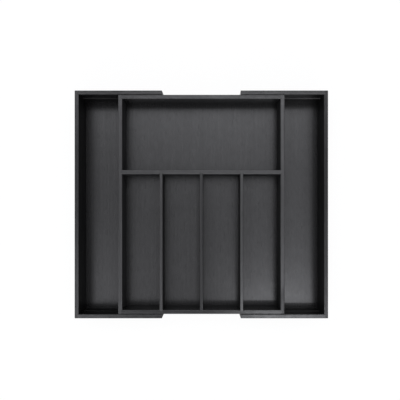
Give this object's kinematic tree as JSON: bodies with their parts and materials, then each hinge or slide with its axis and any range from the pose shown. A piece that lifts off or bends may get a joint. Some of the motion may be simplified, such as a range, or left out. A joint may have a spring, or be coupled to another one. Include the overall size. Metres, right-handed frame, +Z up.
{
  "type": "cutlery tray",
  "caption": "Black-stained wooden cutlery tray that extends: a centre tray with a wide back compartment and long cutlery cells, hung between wings that slide out to either side.",
  "frame": {"origin": "on the table, under the middle of the tray with both wings pulled out", "axes": "+X to the right along the slides, +Y to the back, where the wide compartment is, +Z up"},
  "size_m": [0.495, 0.445, 0.064],
  "materials": {
    "wall_board": "black stain, satin, solid board",
    "floor_panel": "black stain, satin, veneered panel",
    "divider_board": "black stain, satin, solid board",
    "slide_tongue": "black stain, rubbed smooth",
    "brad_steel": "bright steel"
  },
  "bodies": {
    "centre_tray": {"centre_back_wall": "wall_board", "centre_front_wall": "wall_board", "centre_left_wall": "wall_board", "centre_right_wall": "wall_board", "centre_floor": "floor_panel", "cross_divider": "divider_board", "left_divider": "divider_board", "middle_divider": "divider_board", "right_divider": "divider_board", "back_left_tongue": "slide_tongue", "back_right_tongue": "slide_tongue", "front_left_tongue": "slide_tongue", "front_right_tongue": "slide_tongue", "centre_brads": "brad_steel"},
    "left_wing": {"left_wing_end_wall": "wall_board", "left_wing_back_wall": "wall_board", "left_wing_front_wall": "wall_board", "left_wing_floor": "floor_panel", "left_wing_brads": "brad_steel"},
    "right_wing": {"right_wing_end_wall": "wall_board", "right_wing_back_wall": "wall_board", "right_wing_front_wall": "wall_board", "right_wing_floor": "floor_panel", "right_wing_brads": "brad_steel"}
  },
  "joints": [
    {"name": "left_wing_slide", "type": "slide", "parent": "centre_tray", "child": "left_wing", "axis": [1, 0, 0], "range_m": [0, 0.0765]},
    {"name": "right_wing_slide", "type": "slide", "parent": "centre_tray", "child": "right_wing", "axis": [-1, 0, 0], "range_m": [0, 0.0765]}
  ]
}
